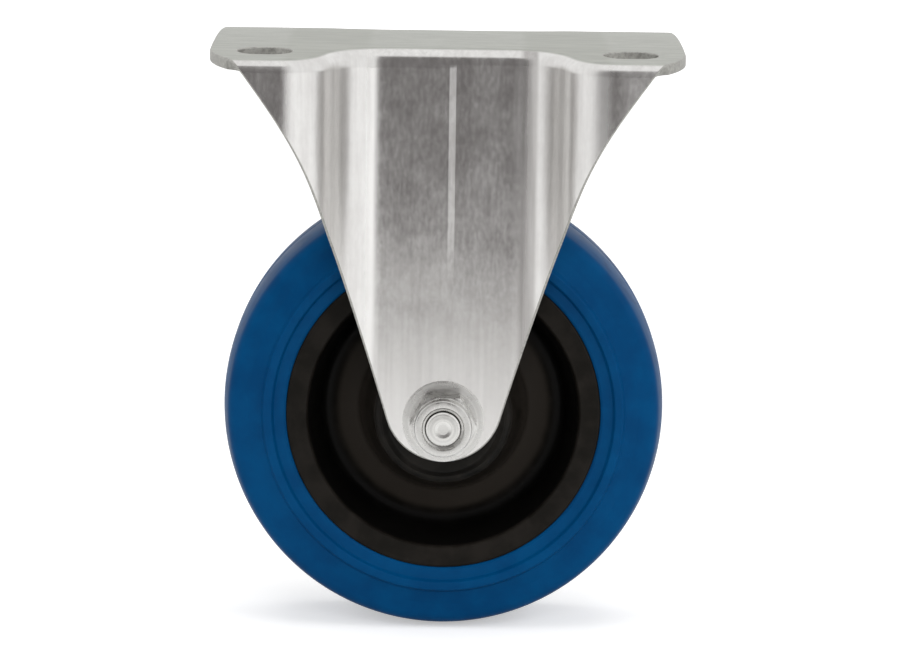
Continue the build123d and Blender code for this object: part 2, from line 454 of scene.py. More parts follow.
@dataclass(frozen=True)
class PressedZinc(Finish):
    """Bright zinc over drawn sheet: mottled, streaked along the draw, duller on top.

    Sizes and places are in metres, from the middle of the plate's top.
    """

    bright: Colour = colour("e3e2e0")
    dull: Colour = colour("d0cecc")
    plate: Colour = colour("a2a39d")
    # Colour of a painted dull reflection: darker streaks on the right flute in place of a darker reflection
    painted_dull_reflection: Colour = colour("a3a09e")
    cloud_size: float = 7.0 * MM
    grain_size: float = 0.9 * MM
    grain_stretch: Stretch = (1, 1, 0.45)
    streak_size: float = 1.2 * MM
    streak_stretch: Stretch = (1, 1, 0.05)
    wide_size: float = 5.0 * MM
    wide_stretch: Stretch = (1, 1, 0.03)
    fleck_size: float = 1.5 * MM
    fleck_stretch: Stretch = (0.15, 1, 1)
    crown: float = 1.8 * MM
    crown_reach: float = 38.0 * MM
    top_edge: Fade = (-0.45 * MM, -0.1 * MM)
    # Where across the right flute the painted dull reflection lies, and how strongly it shows
    painted_dull_reflection_across: Band = (15.6 * MM, 17.2 * MM, 19.3 * MM, 20.4 * MM)
    painted_dull_reflection_strength: float = 0.8
    flute_across: Band = (16.0 * MM, 18.5 * MM, 34.0 * MM, 36.5 * MM)
    mark_x: float = 1.2 * MM
    mark_half: float = 0.75 * MM
    mark_height: Band = (-58.0 * MM, -40.0 * MM, -5.0 * MM, -3.6 * MM)
    mark_depth: Fade = (-25.0 * MM, -24.0 * MM)
    relief: float = 0.12 * MM

    def draw_mark(self, bench: Bench, across: Wire, depth: Wire, height: Wire) -> Wire:
        """Build the press's mark down the middle of the front leg's panel.

        Args:
            bench: Where the nodes are made.
            across: Place along the wheel's way.
            depth: Place along the axle.
            height: Place above the plate's top.

        Returns:
            The mark's step, from 0 to 1.
        """
        step = bench.node("ShaderNodeMapRange", {"clamp": True}, {
            "Value": across,
            "From Min": self.mark_x - self.mark_half,
            "From Max": self.mark_x + self.mark_half,
            "To Min": 1.0,
            "To Max": 0.0,
        })
        return step * height.band(self.mark_height) * depth.fade(self.mark_depth)

    def paint(self, bench: Bench) -> None:
        """Build the sheet's clouds, streaks, painted dull reflection, draw mark and duller top.

        Args:
            bench: Where the nodes are made.
        """
        point = bench.place()
        across, depth, height = bench.axes(point)
        cloud = bench.noise(point, self.cloud_size, 3, 0.55)
        grain = bench.noise(bench.stretched(point, self.grain_stretch), self.grain_size, 2, 0.55)
        streaks = bench.noise(bench.stretched(point, self.streak_stretch), self.streak_size, 2, 0.5)
        wide = bench.noise(bench.stretched(point, self.wide_stretch), self.wide_size, 2, 0.5)
        mottle = cloud.spread() * 0.5 + grain.between(0.25, 0.75) * 0.5
        drawn = (streaks * 0.5 + wide * 0.5).between(0.35, 0.65)
        sheet = bench.mix(mottle * 0.5 + drawn * 0.5, self.dull, self.bright)
        # Painted dull reflection: the right flute's band is darkened in colour, in streaks, in place of a
        # darker reflection
        painted_dull_reflection = across.band(self.painted_dull_reflection_across) * streaks.between(0.35, 0.6, 0.75, 1.0)
        sheet = bench.mix(painted_dull_reflection * self.painted_dull_reflection_strength, sheet, self.painted_dull_reflection)
        fleck = bench.noise(bench.stretched(point, self.fleck_stretch), self.fleck_size, 3, 0.6)
        plate = bench.shaded(self.plate, fleck.spread(0.9, 1.06))
        level = height + depth * depth * (self.crown / self.crown_reach ** 2)
        top = level.between(*self.top_edge)
        flute = (across * across).band([place ** 2 for place in self.flute_across])
        pressed = (streaks * 0.04 + grain * 0.012 + cloud * 0.1) * flute.fade((0, 1))
        mark = self.draw_mark(bench, across, depth, height)
        bench.surface({
            "Base Color": bench.mix(top, sheet, plate),
            "Metallic": top.between(0, 1, 1.0, 0.5),
            "Roughness": (mottle * 0.1 + 0.14) * (1.0 - flute) + flute * 0.3 + top * 0.35,
            "Normal": bench.bump(pressed + mark * 1.12, self.relief),
        })


@dataclass(frozen=True)
class ShearedEdge(Finish):
    """Cut edge of the sheet: duller zinc with the shear's fine tear marks."""

    base: Colour = colour("a9a8a3")
    tear_size: float = 0.7 * MM
    relief: float = 0.03 * MM

    def paint(self, bench: Bench) -> None:
        """Build the edge's marks.

        Args:
            bench: Where the nodes are made.
        """
        marks = bench.noise(bench.place(), self.tear_size, 3, 0.6)
        bench.surface({
            "Base Color": bench.shaded(self.base, marks.spread(0.75, 1.1)),
            "Metallic": 0.8,
            "Roughness": marks.spread(0.38, 0.52),
            "Normal": bench.bump(marks, self.relief),
        })


@dataclass(frozen=True)
class TurnedMetal(Finish):
    """Plain turned or headed metal with a faint grain around the axle."""

    base: Colour
    roughness: float
    grain_size: float = 0.5 * MM
    cloud_size: float = 2.5 * MM
    relief: float = 0.01 * MM

    def paint(self, bench: Bench) -> None:
        """Build rings around the axle and a little cloud.

        Args:
            bench: Where the nodes are made.
        """
        point = bench.place()
        turned = bench.rings(point, bench.radius(point), self.grain_size, 0.6)
        cloud = bench.noise(point, self.cloud_size, 3, 0.6)
        tone = turned * 0.5 + cloud * 0.5
        bench.surface({
            "Base Color": bench.shaded(self.base, tone.between(0.35, 0.7, 0.82, 1.06)),
            "Metallic": 1.0,
            "Roughness": cloud.spread(self.roughness * 0.8, self.roughness * 1.35),
            "Normal": bench.bump(turned, self.relief, 0.4),
        })


@dataclass(frozen=True)
class ElasticRubber(Finish):
    """Blue elastic rubber: satin, a little dusty, with faint mould rings."""

    deep: Colour = colour("003863")
    pale: Colour = colour("00416e")
    # Grey-blue of the tread: partly wear, partly a painted sheen
    worn_sheen: Colour = colour("2c3f5e")
    specular: float = 0.05
    ring_size: float = 0.9 * MM
    cloud_size: float = 9.0 * MM
    pore_size: float = 0.35 * MM
    worn_sheen_size: float = 3.0 * MM
    worn_sheen_radius: Fade = (48.2 * MM, 49.4 * MM)
    relief: float = 0.03 * MM

    def paint(self, bench: Bench) -> None:
        """Build the rubber's clouds, mould rings and greyed tread, partly wear and partly painted sheen.

        Args:
            bench: Where the nodes are made.
        """
        point = bench.place()
        radius = bench.radius(point)
        mould = bench.rings(point, radius, self.ring_size)
        cloud = bench.noise(point, self.cloud_size, 4, 0.6)
        pores = bench.noise(point, self.pore_size, 2, 0.5)
        # Greyed patches on the tread: partly wear, partly a painted sheen in place of its grazing highlight
        worn_sheen_patches = bench.noise(point, self.worn_sheen_size, 3, 0.6).between(0.42, 0.75, 0.0, 0.55)
        worn_sheen_mask = radius.between(*self.worn_sheen_radius) * worn_sheen_patches
        bench.surface({
            "Base Color": bench.mix(worn_sheen_mask, bench.mix(cloud.spread(), self.deep, self.pale), self.worn_sheen),
            "Roughness": cloud.spread(0.34, 0.42) + worn_sheen_mask * 0.15,
            "Specular IOR Level": self.specular,
            "Normal": bench.bump(mould * 0.6 + pores * 0.4, self.relief, 0.5),
        })


@dataclass(frozen=True)
class MouldedPlastic(Finish):
    """Satin moulded plastic with flow clouds and a fine spark-eroded grain.

    The recess's painted light is the wheel core's: a painted shadow makes its groove
    nearly black where no light gets in, and painted light makes its web paler.
    """

    base: Colour
    lighter: Colour
    roughness: float = 0.4
    # How strongly the recess's painted shadow and painted light show; 0 leaves them out
    recess: float = 0.0
    painted_groove_shadow: Colour = colour("030303")
    painted_web_light: Colour = colour("2b2723")
    groove_radius: Band = (23.5 * MM, 26.5 * MM, 30.2 * MM, 30.9 * MM)
    web_radius: Band = (17.2 * MM, 18.6 * MM, 23.0 * MM, 25.0 * MM)
    specular: float = 0.08
    ring_size: float = 0.6 * MM
    cloud_size: float = 6.0 * MM
    pore_size: float = 0.25 * MM
    relief: float = 0.02 * MM

    def paint(self, bench: Bench) -> None:
        """Build the plastic's clouds, grain, turned marks and the recess's painted shade and light.

        Args:
            bench: Where the nodes are made.
        """
        point = bench.place()
        radius = bench.radius(point)
        turned = bench.rings(point, radius, self.ring_size)
        cloud = bench.noise(point, self.cloud_size, 4, 0.6)
        pores = bench.noise(point, self.pore_size, 2, 0.5)
        tone = bench.mix(cloud.between(0.35, 0.7), self.base, self.lighter)
        # Painted light by radius: a paler web and a nearly black groove stand in for light and shadow
        tone = bench.mix(radius.band(self.web_radius) * self.recess, tone, self.painted_web_light)
        tone = bench.mix(radius.band(self.groove_radius) * self.recess, tone, self.painted_groove_shadow)
        bench.surface({
            "Base Color": tone,
            "Roughness": cloud.spread(self.roughness - 0.05, self.roughness + 0.07),
            "Specular IOR Level": self.specular,
            "Normal": bench.bump(turned * 0.5 + pores * 0.5, self.relief, 0.5),
        })


@dataclass(frozen=True)
class StudioFloor(Finish):
    """White floor, with the shadow kept: its glow grows with the distance squared.

    The glow is fuller for the eye than for gloss, and nearly half near the object.
    """

    shade: Colour = (0.8, 0.8, 0.8, 1.0)
    eye: float = 1.0
    gloss: float = 0.45
    near: float = 0.42
    reach_squared: Fade = (0.2, 3.0)

    def paint(self, bench: Bench) -> None:
        """Build a white diffuse with a lift for rays that see it directly.

        Args:
            bench: Where the nodes are made.
        """
        diffuse = bench.node("ShaderNodeBsdfDiffuse", feeds={"Color": self.shade})
        across, depth, _ = bench.axes(bench.place())
        growth = (across * across + depth * depth).between(*self.reach_squared, self.near, 1.0)
        strength = bench.seen(self.eye, self.gloss) * growth
        glow = bench.node("ShaderNodeEmission", feeds={"Strength": strength})
        bench.output(bench.node("ShaderNodeAddShader", feeds={0: diffuse, 1: glow}))


def neutral(level: float) -> Colour:
    """An opaque grey."""
    return (level, level, level, 1.0)


@dataclass(frozen=True)
class GreySweep(Finish):
    """Grey cloth that the metal reflects: paler near the object, soft at its ends.

    The levels run up the sweep from a way before its bend. The cover runs from left
    to right as the hub sees it, by the slope of the line of sight.
    """

    bend: float = -0.5
    levels_from: float = -0.25
    levels_run: float = 0.35
    levels: tuple[Stop, ...] = (
        (0.0, (1.0, 1.0, 1.0, 1)),
        (0.49, (1.0, 0.99, 0.98, 1)),
        (0.6, (0.7, 0.69, 0.68, 1)),
        (0.68, (0.36, 0.35, 0.35, 1)),
        (0.745, (0.235, 0.225, 0.225, 1)),
        (0.83, (0.225, 0.215, 0.215, 1)),
        (0.89, (0.21, 0.2, 0.2, 1)),
        (1.0, (0.19, 0.18, 0.18, 1)),
    )
    hub: float = -0.026
    cover_from: float = -1.2
    cover_run: float = 1.6
    cover: tuple[tuple[float, float], ...] = (
        (0.0, 0.0), (0.2, 0.1), (0.33, 0.76), (0.56, 0.88),
        (0.68, 1.0), (0.82, 1.0), (0.86, 0.8), (0.93, 0.0),
    )
    top: Fade = (0.5, 0.85)
    front: Fade = (-0.32, -0.26)

    def paint(self, bench: Bench) -> None:
        """Build the cloth's levels up the sweep and its fading ends.

        Args:
            bench: Where the nodes are made.
        """
        across, depth, height = bench.axes(bench.place())
        climb = height - FLOOR_HEIGHT - depth + self.bend
        place = (climb - self.levels_from) / self.levels_run
        levels = bench.node("ShaderNodeValToRGB", {"stops": self.levels}, {0: place})
        bearing = across / (self.hub - depth)
        place = (bearing - self.cover_from) / self.cover_run
        stops = [(at, neutral(level)) for at, level in self.cover]
        cover = bench.node("ShaderNodeValToRGB", {"stops": stops}, {0: place})
        cover = bench.node("ShaderNodeSeparateColor", feeds={0: cover})
        cover = cover * height.fade(self.top) * depth.fade(self.front)
        glow = bench.node("ShaderNodeEmission", feeds={"Color": levels})
        clear = bench.node("ShaderNodeBsdfTransparent")
        bench.output(bench.node("ShaderNodeMixShader", feeds={0: cover, 1: clear, 2: glow}))


# Meshes


# Share of a side that one rounded corner may take
ROUND_SHARE = 0.49
# Points closer than this, in metres, are one point
WELD = 1e-7


@dataclass(frozen=True)
class Corner:
    """A corner of a turned section: place along the axle, radius and rounding, in mm."""

    along: float
    radius: float
    round: float = 0.0


@dataclass(frozen=True)
class Rows:
    """Plain corners in even steps, which give the flats of a hexagon rows of points.

    Their number, and the step along the axle and towards it, follow the first
    one's place and radius.
    """

    along: float
    radius: float
    count: int
    rise: float
    inset: float = 0.0

    def corners(self) -> list[Corner]:
        """The corners, from the first."""
        steps = range(self.count)
        return [Corner(self.along + self.rise * n, self.radius - self.inset * n) for n in steps]


def placed(corners: Iterable[Corner], start: float, way: int) -> list[Corner]:
    """Put corners in their places along the axle.

    Args:
        corners: Corners whose places are distances from a start.
        start: The start, in mm.
        way: 1 for distances towards the back, -1 for the front.

    Returns:
        The corners in their places.
    """
    return [Corner(start + way * c.along, c.radius, c.round) for c in corners]


def rounded(corners: Sequence[Corner], closed: bool, arc_steps: int = 5) -> list[tuple[float, float]]:
    """Round the corners of a section, each within half of the sides that meet there.

    Args:
        corners: The section's corners in order.
        closed: Whether the last corner joins the first.
        arc_steps: Number of flats on each rounded corner.

    Returns:
        The points of the rounded section, in mm.
    """
    points: list[tuple[float, float]] = []
    count = len(corners)
    for index, corner in enumerate(corners):
        here = Vector((corner.along, corner.radius))
        open_end = not closed and index in (0, count - 1)
        if corner.round <= 0 or open_end:
            points.append(tuple(here))
            continue
        before = corners[index - 1]
        after = corners[(index + 1) % count]
        to_before = Vector((before.along, before.radius)) - here
        to_after = Vector((after.along, after.radius)) - here
        half = to_before.angle(to_after) / 2
        most = ROUND_SHARE * min(to_before.length, to_after.length)
        reach = min(corner.round / math.tan(half), most)
        start = here + to_before.normalized() * reach
        end = here + to_after.normalized() * reach
        for step in range(arc_steps + 1):
            share = step / arc_steps
            blend = start * (1 - share) ** 2 + here * 2 * share * (1 - share) + end * share ** 2
            points.append(tuple(blend))
    return points


def linked(name: str, data: bpy.types.ID) -> bpy.types.Object:
    """Make an object and link it to the scene.

    Args:
        name: Its name.
        data: Its mesh, light or camera.

    Returns:
        The object.
    """
    made = bpy.data.objects.new(name, data)
    bpy.context.scene.collection.objects.link(made)
    return made


def new_piece(name: str, shape: bmesh.types.BMesh, smooth: float = 35.0) -> bpy.types.Object:
    """Turn a finished mesh into an object with clean normals.

    Args:
        name: Name of the piece.
        shape: The mesh, which is used up.
        smooth: Largest angle in degrees that is shaded as smooth.

    Returns:
        The object, linked to the scene.
    """
    bmesh.ops.remove_doubles(shape, verts=shape.verts, dist=WELD)
    bmesh.ops.recalc_face_normals(shape, faces=shape.faces)
    for face in shape.faces:
        face.smooth = True
    for edge in shape.edges:
        if len(edge.link_faces) == 2 and edge.calc_face_angle() > math.radians(smooth):
            edge.smooth = False
    mesh = bpy.data.meshes.new(name)
    shape.to_mesh(mesh)
    shape.free()
    return linked(name, mesh)


Outline = Callable[[float, float, float], float]


def plain_round(radius: float, _along: float, _turn: float) -> float:
    """The radius as it is, for pieces that are round all the way."""
    return radius


def turned_shape(
    section: Sequence[tuple[float, float]],
    segments: int,
    closed: bool = True,
    outline: Outline = plain_round,
) -> bmesh.types.BMesh:
    """Turn a section about the axle.

    Args:
        section: Points of the section: place along the axle and radius, in mm.
        segments: Number of steps around.
        closed: Whether the section is a loop. An open one gets a cap at each end
            that lies on the axle.
        outline: Changes the radius, from the radius, place along the axle and angle.

    Returns:
        The turned mesh.
    """
    shape = bmesh.new()
    rings: list[list[bmesh.types.BMVert]] = []
    for along, radius in section:
        if radius * MM < WELD:
            rings.append([shape.verts.new((0, along * MM, AXLE_HEIGHT))])
            continue
        ring = []
        for step in range(segments):
            turn = math.tau * step / segments
            reach = outline(radius, along, turn) * MM
            place = (reach * math.cos(turn), along * MM, AXLE_HEIGHT + reach * math.sin(turn))
            ring.append(shape.verts.new(place))
        rings.append(ring)
    pairs = list(zip(rings, rings[1:]))
    if closed:
        pairs.append((rings[-1], rings[0]))
    for first, second in pairs:
        for step in range(segments):
            following = (step + 1) % segments
            if len(first) == 1 and len(second) == 1:
                continue
            if len(first) == 1:
                shape.faces.new((first[0], second[step], second[following]))
            elif len(second) == 1:
                shape.faces.new((first[step], second[0], first[following]))
            else:
                shape.faces.new((first[step], second[step], second[following], first[following]))
    return shape


def mirrored(half: Sequence[Corner]) -> list[Corner]:
    """Complete a section that is alike on both sides of the wheel's middle.

    Args:
        half: Corners from the middle, out over the back half and back to the middle.

    Returns:
        The corners of the whole loop.
    """
    return [*half, *placed(reversed(half), 0.0, -1)]


# The wheel


@dataclass
class Tyre:
    """Elastic tyre: crowned tread, leaning flanks, a raised ring above the core.

    Sizes are in mm, and the corners are the back half's, from the wheel's middle.
    """

    segments: int = 240
    tread_radius: float = 50.0
    flash: tuple[Corner, Corner] = (Corner(0.25, 49.98, 0.1), Corner(0.45, 49.88, 0.1))
    land: float = 3.0
    crown_radius: float = 46.0
    tread_half: float = 13.0
    tread_step: float = 2.0
    shoulder_run: float = 1.9
    shoulder_drop: float = 0.55
    shoulder_round: float = 3.2
    flank: Corner = Corner(15.55, 44.0, 1.5)
    ring_foot: Corner = Corner(16.28, 41.1, 0.4)
    ring_outer: Corner = Corner(17.45, 40.5, 0.5)
    ring_inner: Corner = Corner(17.45, 38.7, 0.5)
    lip_top: Corner = Corner(16.5, 38.2, 0.4)
    lip_foot: Corner = Corner(16.35, 36.0, 0.5)
    seat: Corner = Corner(16.0, 35.45, 0.3)
    key: Corner = Corner(10.3, 35.45)
    key_foot: Corner = Corner(8.5, 33.65)
    finish: Finish = field(default_factory=lambda: ElasticRubber("blue_elastic_rubber"))

    def crown(self, along: float) -> float:
        """Radius of the crowned tread at a place along the axle.

        Args:
            along: Distance from the wheel's middle in mm.

        Returns:
            The radius in mm.
        """
        beyond = max(0.0, along - self.land)
        return self.tread_radius - self.crown_radius + math.sqrt(self.crown_radius ** 2 - beyond ** 2)

    def section(self) -> list[tuple[float, float]]:
        """The tyre's section, with its flash line and mould steps.

        Returns:
            Points of the section, in mm.
        """
        steps = int((self.tread_half - self.land) / self.tread_step)
        tread = [self.land + self.tread_step * step for step in range(steps)]
        shoulder = self.crown(self.tread_half) - self.shoulder_drop
        half = [
            *self.flash,
            *[Corner(along, self.crown(along)) for along in tread],
            Corner(self.tread_half + self.shoulder_run, shoulder, self.shoulder_round),
            self.flank, self.ring_foot, self.ring_outer, self.ring_inner,
            self.lip_top, self.lip_foot, self.seat, self.key, self.key_foot,
        ]
        return rounded(mirrored(half), closed=True)

    def build(self) -> bpy.types.Object:
        """Make the tyre and put it in the CAD tyre's place.

        Returns:
            The tyre.
        """
        piece = new_piece("tyre_skin", turned_shape(self.section(), self.segments), smooth=50)
        self.finish.dress(piece)
        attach(piece, Body.WHEEL.value)
        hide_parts("tyre")
        return piece


@dataclass
class WheelCore:
    """Black core: channelled rim, deep recess, web and hub on each side.

    Sizes are in mm, and the corners are the back half's, from the wheel's middle.
    """

    segments: int = 192
    key_foot: Corner = Corner(8.5, 33.6)
    key: Corner = Corner(10.3, 35.4)
    seat: Corner = Corner(16.0, 35.4, 0.3)
    rim_outer: Corner = Corner(16.2, 34.9, 0.2)
    rim_inner: Corner = Corner(16.2, 31.0, 0.5)
    recess_lip: Corner = Corner(15.6, 30.5, 0.3)
    recess_floor: Corner = Corner(3.2, 27.3, 2.6)
    web: Corner = Corner(6.6, 19.1, 1.8)
    boss: Corner = Corner(16.9, 15.75, 0.3)
    hub_edge: Corner = Corner(17.3, 15.5, 0.2)
    bearing_mouth: Corner = Corner(17.3, 14.05)
    bearing_stop: Corner = Corner(8.4, 14.05)
    bore: Corner = Corner(8.4, 12.0)
    # The core's recess gets a painted shadow in its groove and painted light on its web
    finish: Finish = field(default_factory=lambda: MouldedPlastic(
        "black_core_plastic", colour("12100d"), colour("1d1a17"), recess=0.9,
    ))

    def section(self) -> list[tuple[float, float]]:
        """The core's section with its moulded fillets.

        Returns:
            Points of the section, in mm.
        """
        half = [
            self.key_foot, self.key, self.seat, self.rim_outer, self.rim_inner,
            self.recess_lip, self.recess_floor, self.web, self.boss, self.hub_edge,
            self.bearing_mouth, self.bearing_stop, self.bore,
        ]
        return rounded(mirrored(half), closed=True, arc_steps=6)

    def build(self) -> bpy.types.Object:
        """Make the core and put it in the CAD core's place.

        Returns:
            The core.
        """
        piece = new_piece("core_skin", turned_shape(self.section(), self.segments), smooth=40)
        self.finish.dress(piece)
        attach(piece, Body.WHEEL.value)
        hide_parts("wheel_core")
        return piece


@dataclass
class DustCaps:
    """Stepped cones pressed into the hub's two mouths.

    The corners are in mm from the wheel's middle.
    """

    segments: int = 144
    seat_inner: Corner = Corner(17.32, 14.0)
    seat_outer: Corner = Corner(17.32, 15.2, 0.2)
    flange: Corner = Corner(18.5, 15.2, 0.4)
    step_outer: Corner = Corner(19.3, 14.35, 0.3)
    step_inner: Corner = Corner(19.3, 13.85, 0.2)
    cone: Corner = Corner(21.6, 12.4, 0.6)
    mouth_outer: Corner = Corner(21.6, 8.7, 0.3)
    mouth_inner: Corner = Corner(20.4, 8.7, 0.2)
    cone_inside: Corner = Corner(20.4, 11.3, 0.3)
    spigot_inside: Corner = Corner(17.3, 12.8, 0.2)
    spigot_inner: Corner = Corner(16.45, 12.8)
    spigot_outer: Corner = Corner(16.45, 14.0)
    finish: Finish = field(default_factory=lambda: MouldedPlastic(
        "black_cap_plastic", colour("12110f"), colour("1e1c19"), 0.38,
    ))

    def section(self, side: Side) -> list[tuple[float, float]]:
        """The cap's section on one side.

        Args:
            side: Which end of the axle.

        Returns:
            Points of the section, in mm.
        """
        corners = [
            self.seat_inner, self.seat_outer, self.flange, self.step_outer, self.step_inner,
            self.cone, self.mouth_outer, self.mouth_inner, self.cone_inside,
            self.spigot_inside, self.spigot_inner, self.spigot_outer,
        ]
        return rounded(placed(corners, 0.0, side.value), closed=True, arc_steps=4)

    def build(self) -> list[bpy.types.Object]:
        """Make both caps and put them in their CAD nodes' places.

        Returns:
            The caps.
        """
        made = []
        for side in Side:
            shape = turned_shape(self.section(side), self.segments)
            piece = new_piece(f"{side.word}_cap_skin", shape, smooth=40)
            self.finish.dress(piece)
            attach(piece, Body.WHEEL.value)
            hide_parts(f"{side.word}_dust_cap")
            made.append(piece)
        return made


# Fasteners


@dataclass(frozen=True)
class Hexagon:
    """Flats of a hexagon from a distance along the axle outwards, with a soft root."""

    start: float
    root: float
    across_flats: float = 13.0
    sharpness: float = 70.0

    def outline(self, radius: float, along: float, turn: float) -> float:
        """Cut a round section down to the hexagon where it is larger.

        Args:
            radius: The round section's radius in mm.
            along: Distance from the wheel's middle in mm.
            turn: Angle around the axle.

        Returns:
            The radius in mm.
        """
        flats = [math.cos(turn - math.pi / 6 - k * math.pi / 3) for k in range(6)]
        strength = sum(max(0.0, flat) ** self.sharpness for flat in flats) ** (1 / self.sharpness)
        root = max(0.0, self.start + self.root - abs(along))
        reach = self.across_flats / 2 / strength
        if root <= 0:
            return min(radius, reach)
        if root >= self.root:
            return radius
        return min(radius, reach + self.root - math.sqrt(self.root ** 2 - root ** 2))


@dataclass
class LockNut:
    """Flanged hexagon nut whose round collar is closed over a locking ring.

    Sizes are in mm, and the corners' places are distances from the front leg's face.
    """

    segments: int = 216
    leg_face: float = 26.0
    hexagon_start: float = 0.6
    hexagon_root: float = 0.12
    bore: Corner = Corner(0.02, 4.25)
    flange_foot: Corner = Corner(0.02, 9.1, 0.15)
    flange_edge: Corner = Corner(0.56, 9.1, 0.25)
    flange_top: Rows = Rows(0.56, 8.6, 7, 0.004, 0.14)
    flats: Rows = Rows(0.62, 7.62, 11, 0.6)
    crown: Rows = Rows(6.7, 7.58, 4, 0.06, 0.18)
    collar_foot: Corner = Corner(6.95, 6.45, 0.2)
    collar_top: Corner = Corner(9.5, 6.3, 0.5)
    lip: Corner = Corner(9.5, 4.75, 0.3)
    mouth: Corner = Corner(9.1, 4.5, 0.15)
    ring_seat: Corner = Corner(9.0, 4.05)
    finish: Finish = field(default_factory=lambda: TurnedMetal("nut_zinc", colour("d8d7d4"), 0.27))

    def section(self) -> list[tuple[float, float]]:
        """The nut's section, from its bore over the flange to the collar's lip.

        Returns:
            Points of the section, in mm.
        """
        corners = [
            self.bore, self.flange_foot, self.flange_edge, *self.flange_top.corners(),
            *self.flats.corners(), *self.crown.corners(),
            self.collar_foot, self.collar_top, self.lip, self.mouth, self.ring_seat,
        ]
        return rounded(placed(corners, -self.leg_face, -1), closed=True)

    def build(self) -> bpy.types.Object:
        """Make the nut and put it in the CAD nut's place.

        Returns:
            The nut.
        """
        hexagon = Hexagon(self.leg_face + self.hexagon_start, self.hexagon_root)
        shape = turned_shape(self.section(), self.segments, outline=hexagon.outline)
        piece = new_piece("nut_skin", shape, smooth=28)
        self.finish.dress(piece)
        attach(piece, Body.FORK.value)
        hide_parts("lock_nut")
        return piece


@dataclass
class AxleBolt:
    """Bolt through both legs: crowned hexagon head at the back, threaded end in front.

    Sizes are in mm. The places of the corners are distances from the bolt's threaded
    end, as far as its thread, and from the back leg's face on its head.
    """

    segments: int = 144
    leg_face: float = 26.0
    radius: float = 4.0
    end_reach: float = 10.1
    dimple: Corner = Corner(0.12, 0.0)
    dimple_floor: Corner = Corner(0.1, 1.2, 0.3)
    dimple_rim: Corner = Corner(0.0, 1.9, 0.4)
    point: Corner = Corner(0.0, 3.45, 0.18)
    point_foot: Corner = Corner(0.45, 3.85, 0.1)
    thread: tuple[Corner, ...] = (Corner(0.9, 3.42, 0.1), Corner(1.45, 3.96, 0.08), Corner(1.6, 3.96, 0.08))
    thread_turns: int = 7
    pitch: float = 1.25
    hexagon_start: float = 0.1
    hexagon_root: float = 0.2
    washer_foot: Corner = Corner(0.0, 6.35, 0.15)
    washer_top: Corner = Corner(0.35, 6.4, 0.1)
    flats: Rows = Rows(0.4, 7.6, 9, 0.5)
    crown: Rows = Rows(4.6, 7.45, 7, 0.1, 0.2)
    top_edge: Corner = Corner(5.25, 6.05, 0.3)
    dish_rim: Corner = Corner(5.25, 4.9, 0.4)
    dish_floor: Corner = Corner(5.1, 4.4, 0.4)
    dish_middle: Corner = Corner(5.1, 0.0)
    finish: Finish = field(default_factory=lambda: TurnedMetal("bolt_zinc", colour("dfdedb"), 0.2))

    def section(self) -> list[tuple[float, float]]:
        """The bolt's section along the axle, from its threaded end to its head.

        Returns:
            Points of the section, in mm.
        """
        tip = -self.leg_face - self.end_reach
        point = [self.dimple, self.dimple_floor, self.dimple_rim, self.point, self.point_foot]
        corners = placed(point, tip, 1)
        for turn in range(self.thread_turns):
            corners += placed(self.thread, tip + turn * self.pitch, 1)
        corners += [Corner(-self.leg_face, self.radius), Corner(self.leg_face, self.radius)]
        head = [
            self.washer_foot, self.washer_top, *self.flats.corners(), *self.crown.corners(),
            self.top_edge, self.dish_rim, self.dish_floor, self.dish_middle,
        ]
        return rounded(corners + placed(head, self.leg_face, 1), closed=False)

    def build(self) -> bpy.types.Object:
        """Make the bolt and put it in the CAD bolt's place.

        Returns:
            The bolt.
        """
        hexagon = Hexagon(self.leg_face + self.hexagon_start, self.hexagon_root)

        def head_only(radius: float, along: float, turn: float) -> float:
            """Leave the shank and thread round."""
            return hexagon.outline(radius, along, turn) if along > 0 else radius

        shape = turned_shape(self.section(), self.segments, closed=False, outline=head_only)
        piece = new_piece("bolt_skin", shape, smooth=28)
        self.finish.dress(piece)
        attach(piece, Body.FORK.value)
        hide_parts("axle_bolt")
        return piece


# The bracket


Rim = list[tuple[int, Vector]]
Facing = tuple[Vector, Vector]
UP = Vector((0, 0, 1))
# Points, in mm, and normals that agree to a part in this many are one point
KEY_STEPS = 500
# Points of the plate that are closer than this, in mm, are one point
PLATE_WELD = 1e-5


def eased(share: float) -> float:
    """Ease a share from 0 to 1, level at both ends."""
    return share * share * (3 - 2 * share)


